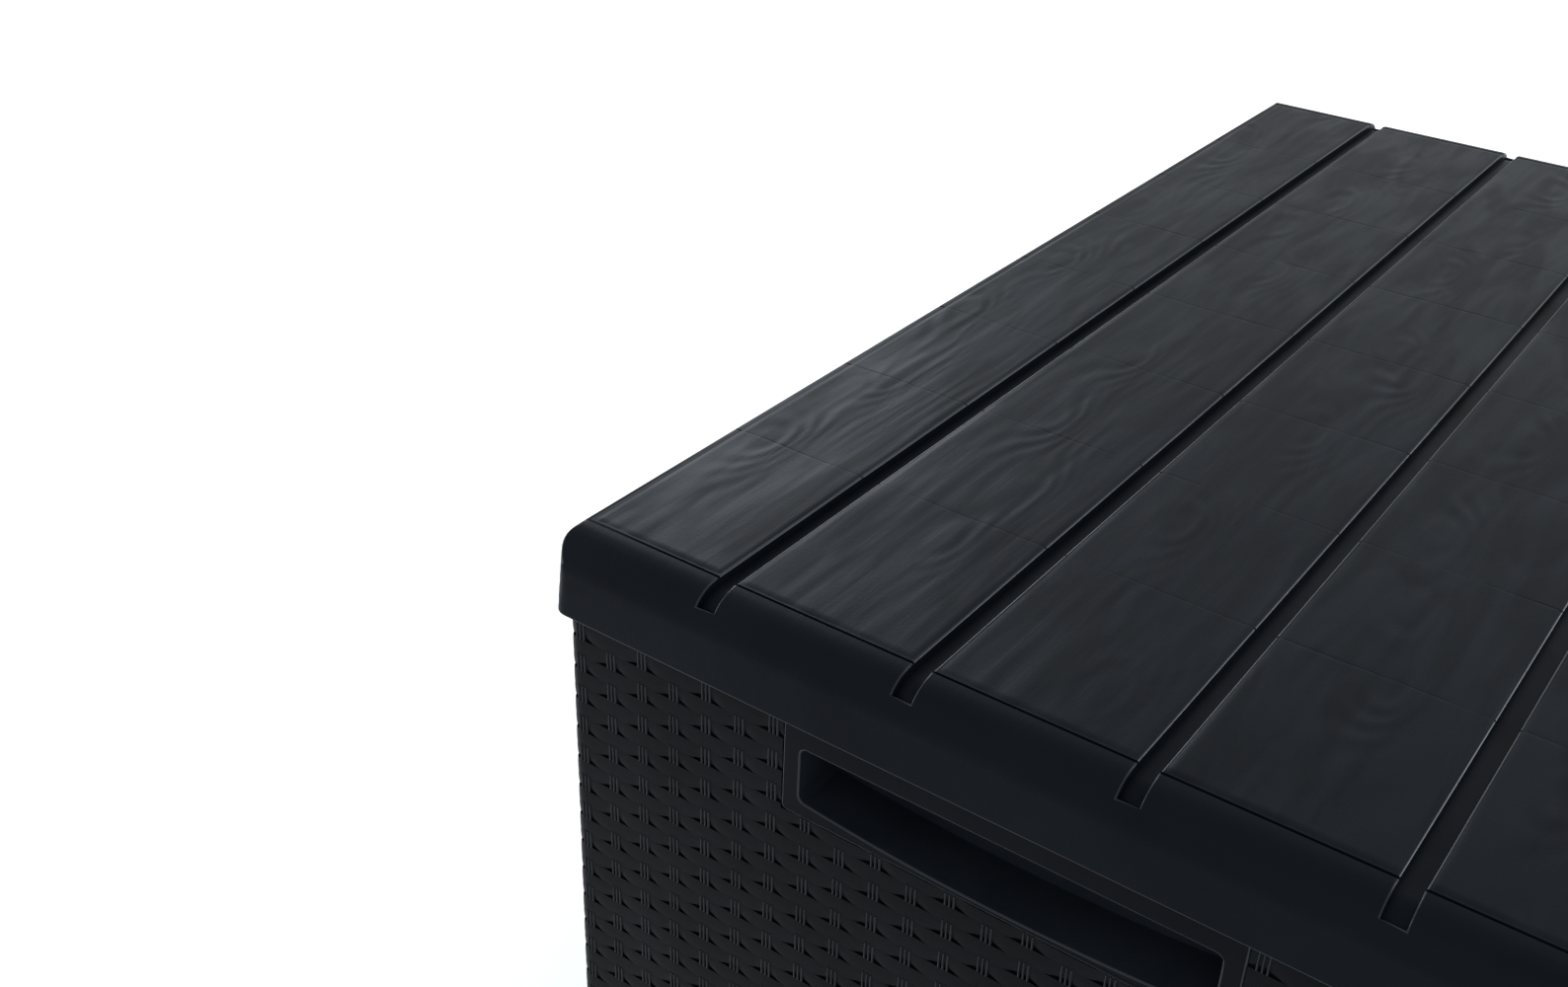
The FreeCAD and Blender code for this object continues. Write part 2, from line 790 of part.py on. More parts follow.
# ---- assembly ------------------------------------------------------------
parts = {
    "lid_shell": lid_shell(),
    "lid_liner": lid_liner(),
    "liner_screws": liner_screws(),
    "lid_bumpers": lid_bumpers(),
    "left_end_panel": left_end_panel(),
    "right_end_panel": flipped_x(left_end_panel()),
    "front_panel": front_panel(),
    "rear_panel": rear_panel(),
    "left_handle_cup": left_cup(),
    "right_handle_cup": flipped_x(left_cup()),
    "corner_keys": corner_keys(),
    "corner_screws": corner_screws(),
    "base_tray": base_tray(),
    "base_feet": base_feet(),
    "body_hinge_left": body_leaf(-hinge_x),
    "body_hinge_right": body_leaf(hinge_x),
    "lid_hinge_left": lid_leaf(-hinge_x),
    "lid_hinge_right": lid_leaf(hinge_x),
    "hinge_pin_left": hinge_pin(-hinge_x),
    "hinge_pin_right": flipped_x(hinge_pin(-hinge_x)),
    "body_hinge_screws": body_leaf_screws(),
    "lid_hinge_screws": lid_leaf_screws(),
    "lock_lug": lock_lug(),
    "lock_lug_screws": lug_screws(),
    "lock_tab": lock_tab(),
    "lock_tab_screws": tab_screws(),
}

# the hinges and the padlock lug stick out unequally, so the whole box is shifted to
# put the middle of its overall depth on the origin
rear_reach = parts["lid_hinge_left"].BoundBox.YMax
front_reach = parts["lock_lug"].BoundBox.YMin
shift_y = -(rear_reach + front_reach) / 2.0

os.makedirs("parts", exist_ok=True)
for node, shape in parts.items():
    shape.translate(V(0, shift_y, 0))
    shape.exportStep("parts/" + node + ".step")
    print(node, len(shape.Solids), shape.isValid(), round(shape.Volume / 1000.0, 1), "cm3")
print("shift_y", round(shift_y, 3))
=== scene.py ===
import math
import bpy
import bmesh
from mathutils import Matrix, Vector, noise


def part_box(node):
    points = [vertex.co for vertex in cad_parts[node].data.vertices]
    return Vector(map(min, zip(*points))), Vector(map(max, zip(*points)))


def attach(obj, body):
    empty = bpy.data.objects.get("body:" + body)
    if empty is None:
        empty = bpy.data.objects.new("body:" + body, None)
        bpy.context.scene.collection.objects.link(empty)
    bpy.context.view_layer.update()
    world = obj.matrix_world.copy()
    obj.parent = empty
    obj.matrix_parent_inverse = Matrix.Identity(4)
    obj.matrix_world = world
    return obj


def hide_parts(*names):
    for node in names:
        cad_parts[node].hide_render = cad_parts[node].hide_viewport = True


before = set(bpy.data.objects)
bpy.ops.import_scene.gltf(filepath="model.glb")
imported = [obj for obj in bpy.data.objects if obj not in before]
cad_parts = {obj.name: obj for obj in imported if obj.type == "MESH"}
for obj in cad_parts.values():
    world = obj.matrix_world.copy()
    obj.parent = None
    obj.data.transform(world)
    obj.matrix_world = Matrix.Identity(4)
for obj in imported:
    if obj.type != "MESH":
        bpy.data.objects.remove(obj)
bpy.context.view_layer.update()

# %% [markdown]
# # A woven-look deck storage box
# The imported CAD model is the fixed frame: it says how long, wide and high the box is and
# where every part sits. This lesson dresses that frame. The walls get a woven relief, the
# lid gets planks with a moulded wood grain, the rims get a small rounding, and every part
# gets the finish of its real material, with a painted highlight on the rims and reeds and
# painted light in the hand-hold's hollow. The scene is in metres, with X along the box and Z
# up. The sizes below are in millimetres, and MM turns them into metres.

MM = 0.001

# %% [markdown]
# ## Small helpers
# Operators work on whatever is selected, so each step first deselects everything. A
# finished piece keeps its object at the origin, so its whole place is in its mesh.

# %% Selecting, applying and shading
def deselect():
    """Leaves edit mode and selects nothing."""
    if bpy.context.object and bpy.context.object.mode != "OBJECT":
        bpy.ops.object.mode_set(mode="OBJECT")
    bpy.ops.object.select_all(action="DESELECT")


def pick(piece):
    """Selects one piece and makes it the active one."""
    deselect()
    piece.select_set(True)
    bpy.context.view_layer.objects.active = piece


def rename(piece, name):
    piece.name = name
    piece.data.name = name


def settle(piece):
    """Puts the piece's place into its mesh, so that its object sits at the origin."""
    pick(piece)
    bpy.ops.object.transform_apply(location=True, rotation=True, scale=True)


def apply_modifiers(piece):
    pick(piece)
    for modifier in list(piece.modifiers):
        bpy.ops.object.modifier_apply(modifier=modifier.name)


def shade(piece, degrees):
    """Smooth shading, with a crease where faces meet at more than the angle."""
    pick(piece)
    bpy.ops.object.shade_smooth_by_angle(angle=math.radians(degrees))


def report(piece):
    print(piece.name, "faces", len(piece.data.polygons))


# %% [markdown]
# ## The main sizes
# They are read from the frame's parts, so the dressing always fits the box. The walls'
# backing plates lie a little inside the body's outline, and the weave fills that step.

# %% Sizes from the frame
def corners_mm(node):
    """The low and the high corner of a CAD part's box."""
    low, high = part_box(node)
    return [v / MM for v in low], [v / MM for v in high]


lid_low, lid_high = corners_mm("lid_shell")
end_low, end_high = corners_mm("left_end_panel")
front_low = corners_mm("front_panel")[0]
rear_low, rear_high = corners_mm("rear_panel")
cup_low, cup_high = corners_mm("left_handle_cup")
mid_y = (end_low[1] + end_high[1]) / 2.0
back_half_x = -end_low[0]
back_half_y = (end_high[1] - end_low[1]) / 2.0
wall_low = end_low[2]
skirt_z = lid_low[2]
top_z = lid_high[2]
print("middle of the body in Y", round(mid_y, 3), "skirt", skirt_z, "top", top_z)

# %% [markdown]
# ## The weave
# A resin wall like this copies a basket: flat strands run along the wall, and over every
# second crossing three thin upright reeds hold them down. Where a strand goes behind the
# reeds it sinks and narrows, and a dark lens-shaped gap opens below it. One repeat of the
# pattern is two crossings wide and two rows high. It is modelled once, from grids of few
# faces, and the Array modifier lays it out, so the relief is real geometry and still light.

# %% Sizes of a strand
row_h = 8.2
crossing = 16.8
relief = 1.8
strand_crest = relief - 0.1
strand_crown = 0.10
strand_sink = 0.7
sink_reach = 0.55 * crossing
gap_half = 0.47 * crossing
gap_rise = 2.0
row_joint = 0.02
print("repeat", 2.0 * crossing, "by", 2.0 * row_h)


# %% The form of a strand
def strand_depth(away, t):
    """Height over the backing, at a distance from the sunk crossing; t is -0.5 at the
    strand's lower edge and 0.5 at its upper edge, and the lower edge sinks more."""
    near = 0.0
    if away < sink_reach:
        near = 0.5 + 0.5 * math.cos(math.pi * away / sink_reach)
    return strand_crest - strand_crown * (2.0 * t) ** 4 - strand_sink * near * (0.5 - t) ** 2


def gap_lift(away):
    """How far the lower edge lifts where the strand passes behind the reeds."""
    if away >= gap_half:
        return 0.0
    return gap_rise * math.cos(math.pi * away / (2.0 * gap_half))


def make_strand(name, x_mid, z_mid):
    """Two crossings of a strand, with the sunk one in the middle: X along the wall, Y out
    of it, Z up."""
    deselect()
    bpy.ops.mesh.primitive_grid_add(x_subdivisions=14, y_subdivisions=4, size=1.0)
    strand = bpy.context.object
    strand.name = name
    for vertex in strand.data.vertices:
        x = vertex.co.x * 2.0 * crossing
        t = vertex.co.y
        low = -row_h / 2.0 + gap_lift(abs(x))
        high = row_h / 2.0 - row_joint
        z = low + (t + 0.5) * (high - low)
        vertex.co = Vector((x_mid + x, -strand_depth(abs(x), t), z_mid + z)) * MM
    return strand


# %% Three reeds over a crossing
reed_step = 1.9
reed_half = 0.50
reed_crest = relief + 0.30
reed_round = 0.65
reed_overlap = 0.1
reed_end_drop = 0.06


def make_reeds(name, x_mid, z_mid):
    """Three slim half-round reeds that stand over the sunk strand."""
    made = []
    for index in (-1, 0, 1):
        deselect()
        bpy.ops.mesh.primitive_grid_add(x_subdivisions=3, y_subdivisions=4, size=1.0)
        reed = bpy.context.object
        reed.name = name
        for vertex in reed.data.vertices:
            across = vertex.co.x * 2.0
            t = vertex.co.y * 2.0
            x = index * reed_step + across * reed_half
            z = t * (row_h / 2.0 + reed_overlap) + reed_overlap
            crest = reed_crest * (1.0 - reed_end_drop * abs(t) ** 8)
            depth = crest - reed_round * across * across
            vertex.co = Vector((x_mid + x, -depth, z_mid + z)) * MM
        made.append(reed)
    return made


# %% Join two staggered rows into the repeats
def join(name, pieces):
    deselect()
    for piece in pieces:
        piece.select_set(True)
    bpy.context.view_layer.objects.active = pieces[0]
    bpy.ops.object.join()
    joined = bpy.context.object
    joined.name = name
    return joined


strand_repeat = join("strand_repeat", [make_strand("strand_a", 0.0, 0.0),
                                       make_strand("strand_b", crossing, -row_h)])
reed_repeat = join("reed_repeat", make_reeds("reeds_a", 0.0, 0.0)
                   + make_reeds("reeds_b", crossing, -row_h))
report(strand_repeat)
report(reed_repeat)

# %% [markdown]
# ## Laying the weave out
# Two Array modifiers copy the repeat along and down the wall. The long sheet is then
# trimmed to the wall with bisect cuts, and the part that a plate hides is taken away. An
# end wall's sheet is longer than the wall is wide: it is bent round both upright corners,
# where the sheets of the front and the rear meet it.

# %% Select in edit mode
def select_parts(piece, kind, parts, wanted):
    """Selects only the wanted edges or faces (kind EDGE or FACE) and enters edit mode."""
    pick(piece)
    bpy.ops.object.mode_set(mode="EDIT")
    bpy.ops.mesh.select_mode(type=kind)
    bpy.ops.mesh.select_all(action="DESELECT")
    bpy.ops.object.mode_set(mode="OBJECT")
    for part in parts(piece):
        part.select = wanted(part)
    bpy.ops.object.mode_set(mode="EDIT")


def faces(piece):
    return piece.data.polygons


# %% Trim a sheet and drop its hidden faces
def trim(piece, point_mm, outward):
    """Cuts the piece with a plane and drops what lies on its outward side."""
    pick(piece)
    bpy.ops.object.mode_set(mode="EDIT")
    bpy.ops.mesh.select_all(action="SELECT")
    bpy.ops.mesh.bisect(plane_co=[v * MM for v in point_mm], plane_no=outward,
                        clear_outer=True)
    bpy.ops.object.mode_set(mode="OBJECT")


def drop_faces(piece, inside):
    """Deletes the faces whose middle, in millimetres, passes the test."""
    select_parts(piece, "FACE", faces, lambda face: inside(face.center / MM))
    bpy.ops.mesh.delete(type="FACE")
    bpy.ops.object.mode_set(mode="OBJECT")


# %% Lay a flat sheet out
band_h = 7.0
weave_top = skirt_z + 4.0
first_row = skirt_z - 0.05 * row_h + 2.0 * row_h
row_pairs = int((weave_top - wall_low) / (2.0 * row_h)) + 4


def repeat_by(piece, step_mm, count):
    """Adds an Array modifier with a constant step."""
    array = piece.modifiers.new("repeat", "ARRAY")
    array.use_relative_offset = False
    array.use_constant_offset = True
    array.constant_offset_displace = [v * MM for v in step_mm]
    array.count = count


def lay_out(repeat, name, half_length, shift):
    """A flat sheet of weave, centred on 0, from behind the lid's skirt to the foot band."""
    pick(repeat)
    bpy.ops.object.duplicate()
    sheet = bpy.context.object
    columns = int(half_length / (2.0 * crossing)) + 2
    first_x = -columns * 2.0 * crossing + shift * crossing
    for vertex in sheet.data.vertices:
        vertex.co += Vector((first_x, 0.0, first_row)) * MM
    repeat_by(sheet, (2.0 * crossing, 0.0, 0.0), 2 * columns + 1)
    repeat_by(sheet, (0.0, 0.0, -2.0 * row_h), row_pairs)
    apply_modifiers(sheet)
    trim(sheet, (0, 0, weave_top), (0, 0, 1))
    trim(sheet, (0, 0, wall_low + band_h), (0, 0, -1))
    trim(sheet, (half_length, 0, 0), (1, 0, 0))
    trim(sheet, (-half_length, 0, 0), (-1, 0, 0))
    rename(sheet, name)
    return sheet


print("pairs of rows", row_pairs)

# %% Wrap a sheet round an end and its corners
corner_r = 3.0
flat_half = back_half_y - corner_r
turn_length = (corner_r + relief / 2.0) * math.pi / 2.0
return_length = end_high[0] - end_low[0] - corner_r
end_half = flat_half + turn_length + return_length


def wrap_end(sheet, side):
    """Bends a flat sheet round the end wall; side -1 is the end at -X."""
    for vertex in sheet.data.vertices:
        along = abs(vertex.co.x) / MM
        sign = 1.0 if vertex.co.x >= 0.0 else -1.0
        depth = -vertex.co.y / MM
        if along <= flat_half:
            out_x = back_half_x + depth
            out_y = along
        elif along <= flat_half + turn_length:
            turn = (along - flat_half) / turn_length * math.pi / 2.0
            r = corner_r + depth
            out_x = back_half_x - corner_r + r * math.cos(turn)
            out_y = flat_half + r * math.sin(turn)
        else:
            out_x = back_half_x - corner_r - (along - flat_half - turn_length)
            out_y = back_half_y + depth
        vertex.co.x = side * out_x * MM
        vertex.co.y = (mid_y + side * sign * out_y) * MM
    sheet.data.update()


print("half length of an end sheet", round(end_half, 2))


# %% Stand a sheet on a long wall
def place_long(sheet, side):
    """Stands a flat sheet on the front (-1) or the rear (+1) wall."""
    plane = front_low[1] if side < 0 else rear_high[1]
    for vertex in sheet.data.vertices:
        depth = -vertex.co.y / MM
        vertex.co.x = vertex.co.x * (-side)
        vertex.co.y = (plane + side * depth) * MM
    sheet.data.update()


# %% [markdown]
# The hand-hold's plate, the hinges and the padlock lug lie flat on the wall, so there the
# weave stops a little way behind their edges.

# %% The four skins
tuck = 0.4
plate_half = (cup_high[1] - cup_low[1]) / 2.0 - tuck
plate_low = cup_low[2] + tuck


def end_skin(repeat, name, side):
    skin = lay_out(repeat, name, end_half, 1.0)
    drop_faces(skin, lambda c: abs(c.x) < plate_half and c.z > plate_low)
    wrap_end(skin, side)
    return skin


def long_skin(repeat, name, side):
    wall = front_low if side < 0 else rear_low
    skin = lay_out(repeat, name, -wall[0], 0.0)
    place_long(skin, side)
    return skin


def clear_behind(skin, node):
    """Takes the weave away behind a part that is screwed flat on the wall."""
    low, high = corners_mm(node)
    drop_faces(skin, lambda c: low[0] + tuck < c.x < high[0] - tuck
               and low[2] + tuck < c.z < high[2])


def woven_skins(repeat, kind):
    left = end_skin(repeat, kind + "_left_end", -1)
    right = end_skin(repeat, kind + "_right_end", 1)
    front = long_skin(repeat, kind + "_front", -1)
    rear = long_skin(repeat, kind + "_rear", 1)
    clear_behind(rear, "body_hinge_left")
    clear_behind(rear, "body_hinge_right")
    clear_behind(front, "lock_lug")
    for skin in (left, right, front, rear):
        shade(skin, 50)
        settle(skin)
        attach(skin, "box")
        report(skin)
    bpy.data.objects.remove(repeat, do_unlink=True)
    return left, right, front, rear


strand_skins = woven_skins(strand_repeat, "strands")
reed_skins = woven_skins(reed_repeat, "reeds")

# %% [markdown]
# ## Foot band
# Below the weave every wall ends in a plain band, which is one ring round the body. A cube
# of the body's size gets its four upright edges beveled to the corners' radius and loses
# its top and bottom. Solidify then gives the wall its thickness, inwards.

# %% Make the foot band
def make_band(name, half_x, half_y, r, z_low, z_high, thick):
    deselect()
    middle = Vector((0.0, mid_y, (z_low + z_high) / 2.0)) * MM
    bpy.ops.mesh.primitive_cube_add(size=1.0, location=middle)
    ring = bpy.context.object
    ring.scale = Vector((2.0 * half_x, 2.0 * half_y, z_high - z_low)) * MM
    settle(ring)
    points = ring.data.vertices
    select_parts(ring, "EDGE", lambda piece: piece.data.edges,
                 lambda edge: abs(points[edge.vertices[0]].co.z
                                  - points[edge.vertices[1]].co.z) > MM)
    bpy.ops.mesh.bevel(offset=r * MM, segments=6, affect="EDGES")
    bpy.ops.object.mode_set(mode="OBJECT")
    select_parts(ring, "FACE", faces, lambda face: abs(face.normal.z) > 0.9)
    bpy.ops.mesh.delete(type="FACE")
    bpy.ops.object.mode_set(mode="OBJECT")
    wall = ring.modifiers.new("wall", "SOLIDIFY")
    wall.thickness = thick * MM
    wall.offset = -1.0
    edge = ring.modifiers.new("edge", "BEVEL")
    edge.width = 0.7 * MM
    edge.segments = 2
    edge.limit_method = "ANGLE"
    edge.angle_limit = math.radians(60)
    apply_modifiers(ring)
    shade(ring, 40)
    rename(ring, name)
    return ring


foot_band = make_band("foot_band", back_half_x + relief, back_half_y + relief,
                      corner_r + relief, wall_low, wall_low + band_h + 0.3, relief)
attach(foot_band, "box")
report(foot_band)

# %% [markdown]
# ## Materials
# One helper turns an sRGB hex colour into the linear values that Blender works in, one
# gives a noise its scale from a size in millimetres, and one adds a node with its settings
# and links. Every pattern reads Object coordinates.

# %% Colour, scale and node helpers
def srgb(code):
    """Turns an sRGB hex colour into linear red, green, blue and alpha."""
    values = [int(code[start:start + 2], 16) / 255.0 for start in (0, 2, 4)]
    linear = [v / 12.92 if v <= 0.04045 else ((v + 0.055) / 1.055) ** 2.4 for v in values]
    return (*linear, 1.0)


def per_metre(mm):
    """Noise scale for features of about that many millimetres."""
    return 1000.0 / mm


def add(tree, kind, settings=None, inputs=None):
    """Adds a node; settings are its properties, inputs are values or linked sockets."""
    node = tree.nodes.new(kind)
    for key, value in (settings or {}).items():
        setattr(node, key, value)
    for key, value in (inputs or {}).items():
        if isinstance(value, bpy.types.NodeSocket):
            tree.links.new(value, node.inputs[key])
        else:
            node.inputs[key].default_value = value
    return node


# A Mix node has sockets of one name for every kind of data: these are the colour's.
MIX_A, MIX_B, MIX_RESULT = 6, 7, 2


# %% [markdown]
# ### Moulded polypropylene
# Resin deck boxes are injection-moulded polypropylene, dyed dark all through. The mould is
# etched, so the skin is satin: broad soft highlights, a fine leathery grain of about a
# millimetre, and a slight unevenness of colour and gloss over larger patches. The etching
# takes most of the mirror shine away, so the specular level is low, and what is left of it
# is tinted a little bluish.

# %% Moulded resin
def moulded_resin(name, colours, roughness, etch, patch=(60.0, 60.0, 60.0), spread=0.20,
                  fibre=None, specular=0.5):
    """colours and roughness run from one patch to the next; etch is its spacing and depth,
    patch and fibre are sizes along X, Y and Z, and spread is how soft the patches are."""
    material = bpy.data.materials.new(name)
    material.use_nodes = True
    tree = material.node_tree
    tree.nodes.clear()
    place = add(tree, "ShaderNodeTexCoord").outputs["Object"]
    patch_place = add(tree, "ShaderNodeMapping", None,
                      {"Vector": place, "Scale": [per_metre(mm) for mm in patch]})
    patches = add(tree, "ShaderNodeTexNoise", None,
                  {"Vector": patch_place.outputs["Vector"], "Scale": 1.0, "Detail": 6.0,
                   "Distortion": 1.0})
    share = add(tree, "ShaderNodeMapRange", None,
                {"Value": patches.outputs["Fac"], "From Min": 0.5 - spread,
                 "From Max": 0.5 + spread})
    colour = add(tree, "ShaderNodeMix", {"data_type": "RGBA"},
                 {"Factor": share.outputs["Result"], MIX_A: srgb(colours[0]),
                  MIX_B: srgb(colours[1])})
    gloss = add(tree, "ShaderNodeMapRange", None,
                {"Value": share.outputs["Result"], "To Min": roughness[1],
                 "To Max": roughness[0]})
    etching = add(tree, "ShaderNodeTexNoise", None,
                  {"Vector": place, "Scale": per_metre(etch[0]), "Detail": 2.0})
    height = etching.outputs["Fac"]
    if fibre:
        stretch = add(tree, "ShaderNodeMapping", None,
                      {"Vector": place, "Scale": [per_metre(mm) for mm in fibre]})
        fibres = add(tree, "ShaderNodeTexNoise", None,
                     {"Vector": stretch.outputs["Vector"], "Scale": 1.0, "Detail": 4.0,
                      "Roughness": 0.6})
        height = add(tree, "ShaderNodeMath", {"operation": "MULTIPLY_ADD"},
                     {0: fibres.outputs["Fac"], 1: 1.6, 2: height}).outputs["Value"]
    bump = add(tree, "ShaderNodeBump", None,
               {"Height": height, "Strength": 1.0, "Distance": etch[1] * MM})
    shader = add(tree, "ShaderNodeBsdfPrincipled", None,
                 {"Base Color": colour.outputs[MIX_RESULT],
                  "Roughness": gloss.outputs["Result"], "Normal": bump.outputs["Normal"],
                  "IOR": 1.49, "Specular IOR Level": specular,
                  "Specular Tint": (0.80, 0.90, 1.0, 1.0)})
    add(tree, "ShaderNodeOutputMaterial", None, {"Surface": shader.outputs["BSDF"]})
    print("material", name)
    return material


# %% The lid, the walls and the hand-holds
# Fibres are the fine scores that follow the planks on the lid and the strands on a wall.
lid_resin = moulded_resin("Moulded polypropylene, lid skirt", ("080a0e", "0c0f14"),
                          (0.36, 0.46), (0.9, 0.05), specular=0.05,
                          fibre=(16.7, 2.38, 11.1))
plank_resin = moulded_resin("Moulded polypropylene, planks", ("090b0f", "0d1015"),
                            (0.37, 0.45), (0.9, 0.05), (85.0, 22.0, 60.0), 0.09,
                            (55.6, 2.38, 2.38), 0.06)
weave_resin = moulded_resin("Moulded polypropylene, woven strands", ("060709", "0a0a0d"),
                            (0.42, 0.50), (0.8, 0.05), specular=0.05,
                            fibre=(16.7, 16.7, 1.11))
backing_resin = moulded_resin("Moulded polypropylene, wall backing", ("0a0b0c", "0e0f11"),
                              (0.6, 0.7), (1.0, 0.04), specular=0.06)
smooth_resin = moulded_resin("Moulded polypropylene, hand-hold", ("06070a", "0a0b0f"),
                             (0.38, 0.46), (0.9, 0.05), specular=0.04)
inner_resin = moulded_resin("Moulded polypropylene, inner faces", ("101216", "16181c"),
                            (0.5, 0.6), (1.2, 0.08), specular=0.10)

# %% [markdown]
# The mould is polished on its narrow edges and on the slim reeds, and handling polishes
# them further, so they shine more than the etched faces. Their colour is also lighter than
# the faces: a painted highlight, which draws the thin light lines. The hollow of the
# hand-hold is painted lighter than the plate round it: painted light on its floor.

# %% Polished edges and reeds with painted highlights, and the hollow with painted light
# Lighter colour than the lid: a painted highlight along the rims; the higher specular level
# is real polish.
rim_highlight_resin = moulded_resin("Polished polypropylene, moulded edges", ("0e1013", "14161a"),
                          (0.30, 0.38), (0.9, 0.02), specular=0.25)
# Lighter colour than the strands: a painted highlight along the reeds; the higher specular
# level is real polish.
reed_highlight_resin = moulded_resin("Polished polypropylene with painted highlight, slim reeds", ("101114", "17181b"),
                           (0.34, 0.42), (0.8, 0.02), specular=0.22)
# Lighter than the plate: painted light on the hollow's floor.
pocket_painted_light = moulded_resin("Moulded polypropylene with painted light, hand-hold hollow", ("12151a", "1b1e24"),
                             (0.40, 0.50), (0.9, 0.04), specular=0.10)

# %% [markdown]
# ### Coated steel and rubber
# Screws and pins are steel with a satin black coating, about half as metallic as bare
# steel to the eye, with specks of about two millimetres. The feet and the lid's pads are
# plain moulded rubber, which has a matt skin.

# %% Coated steel and rubber
def coated_steel(name):
    material = bpy.data.materials.new(name)
    material.use_nodes = True
    tree = material.node_tree
    tree.nodes.clear()
    place = add(tree, "ShaderNodeTexCoord").outputs["Object"]
    speck = add(tree, "ShaderNodeTexNoise", None,
                {"Vector": place, "Scale": per_metre(2.0), "Detail": 3.0})
    share = add(tree, "ShaderNodeMapRange", None,
                {"Value": speck.outputs["Fac"], "From Min": 0.35, "From Max": 0.75})
    colour = add(tree, "ShaderNodeMix", {"data_type": "RGBA"},
                 {"Factor": share.outputs["Result"], MIX_A: srgb("141517"),
                  MIX_B: srgb("24262a")})
    bump = add(tree, "ShaderNodeBump", None,
               {"Height": speck.outputs["Fac"], "Strength": 1.0, "Distance": 0.03 * MM})
    shader = add(tree, "ShaderNodeBsdfPrincipled", None,
                 {"Base Color": colour.outputs[MIX_RESULT], "Roughness": 0.36,
                  "Metallic": 0.55, "Normal": bump.outputs["Normal"]})
    add(tree, "ShaderNodeOutputMaterial", None, {"Surface": shader.outputs["BSDF"]})
    print("material", name)
    return material


steel = coated_steel("Black coated steel")
rubber = moulded_resin("Matt rubber pad", ("0b0b0c", "101011"), (0.7, 0.8), (0.7, 0.06),
                       specular=0.12)

# %% [markdown]
# ## Softened edges on the CAD parts
# Moulded resin has no knife edges: a narrow rounding catches the light along every rim.
# A copy of each visible CAD part is merged, its flat areas are cleaned, and a Bevel
# modifier rounds the edges that stand out and gives them the polished finish, whose
# lighter colour is a painted highlight. The copy then stands for the CAD part.

# %% Choose the edges that get a rounding
seam_step = 87.5
end_line = lid_high[0] - 20.0
seam_reach = 0.8
end_line_reach = 1.0
cross_span = 2.0
shortest_rim = 0.25
rim_angle = 32.0


def on_fine_line(x):
    """True on the fine cross lines of the lid, which are too slim for a rounding."""
    near_seam = abs(x - round(x / seam_step) * seam_step) < seam_reach
    return near_seam or abs(abs(x) - end_line) < end_line_reach


def mark_rims(piece):
    """Gives a bevel weight to every edge that stands out sharply, off the fine lines."""
    sheet = bmesh.new()
    sheet.from_mesh(piece.data)
    layer = sheet.edges.layers.float.get("bevel_weight_edge")
    if layer is None:
        layer = sheet.edges.layers.float.new("bevel_weight_edge")
    lid = piece.name.startswith("lid_shell")
    for edge in sheet.edges:
        outward = len(edge.link_faces) == 2 and edge.is_convex
        sharp = outward and edge.calc_face_angle() > math.radians(rim_angle)
        along = abs(edge.verts[0].co.x - edge.verts[1].co.x)
        fine = lid and along < cross_span * MM and on_fine_line(edge.verts[0].co.x / MM)
        if sharp and not fine and edge.calc_length() > shortest_rim * MM:
            edge[layer] = 1.0
    sheet.to_mesh(piece.data)
    sheet.free()


# %% Copy, clean and bevel
def softened(node, width_mm, face_resin):
    """A copy of a CAD part with rounded rims, which then stands for that part."""
    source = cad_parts[node]
    copy = source.copy()
    copy.data = source.data.copy()
    bpy.context.scene.collection.objects.link(copy)
    rename(copy, node + "_soft")
    copy.data.materials.clear()
    copy.data.materials.append(face_resin)
    copy.data.materials.append(rim_highlight_resin)
    copy.parent = None
    copy.matrix_world = source.matrix_world.copy()
    settle(copy)
    bpy.ops.object.mode_set(mode="EDIT")
    bpy.ops.mesh.select_all(action="SELECT")
    bpy.ops.mesh.remove_doubles(threshold=0.005 * MM)
    bpy.ops.mesh.dissolve_limited(angle_limit=math.radians(0.6))
    bpy.ops.object.mode_set(mode="OBJECT")
    mark_rims(copy)
    edge = copy.modifiers.new("edge", "BEVEL")
    edge.width = width_mm * MM
    edge.segments = 2
    edge.limit_method = "WEIGHT"
    edge.use_clamp_overlap = False
    # The rounding takes the rim finish, whose lighter colour is a painted highlight.
    edge.material = 1
    apply_modifiers(copy)
    shade(copy, 35)
    shading = copy.modifiers.new("shading", "WEIGHTED_NORMAL")
    shading.keep_sharp = True
    shading.weight = 80
    apply_modifiers(copy)
    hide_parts(node)
    return copy


# %% Round the rims of the visible parts
plate_thick = 1.0
rim_widths = (("lid_shell", 0.7), ("left_handle_cup", 0.9), ("right_handle_cup", 0.9),
              ("lock_tab", 0.6), ("lock_lug", 0.6), ("body_hinge_left", 0.5),
              ("body_hinge_right", 0.5), ("lid_hinge_left", 0.5), ("lid_hinge_right", 0.5))
for node, width in rim_widths:
    part = softened(node, width, lid_resin if node == "lid_shell" else smooth_resin)
    body = "lid" if node.startswith("lid") or node == "lock_tab" else "box"
    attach(part, body)
    if node.endswith("handle_cup"):
        # The faces behind the plate take the lighter finish: painted light in the hollow.
        part.data.materials.append(pocket_painted_light)
        for polygon in part.data.polygons:
            behind_plate = abs(polygon.center.x) / MM < back_half_x - plate_thick
            if polygon.material_index == 0 and behind_plate:
                polygon.material_index = 2
    report(part)

# %% [markdown]
# ## Plank grain on the lid
# The five planks carry a wood grain that is moulded into the lid: long soft ridges with
# cathedral arches around the knots. Each plank's face is a fine grid, and its vertices are
# lifted by a few tenths of a millimetre, so the light breaks on real relief.

# %% Sizes of the planks
plank_pitch = 90.5
groove = 8.3
long_rim = 6.4
plank_gap = 0.4
plank_count = 5


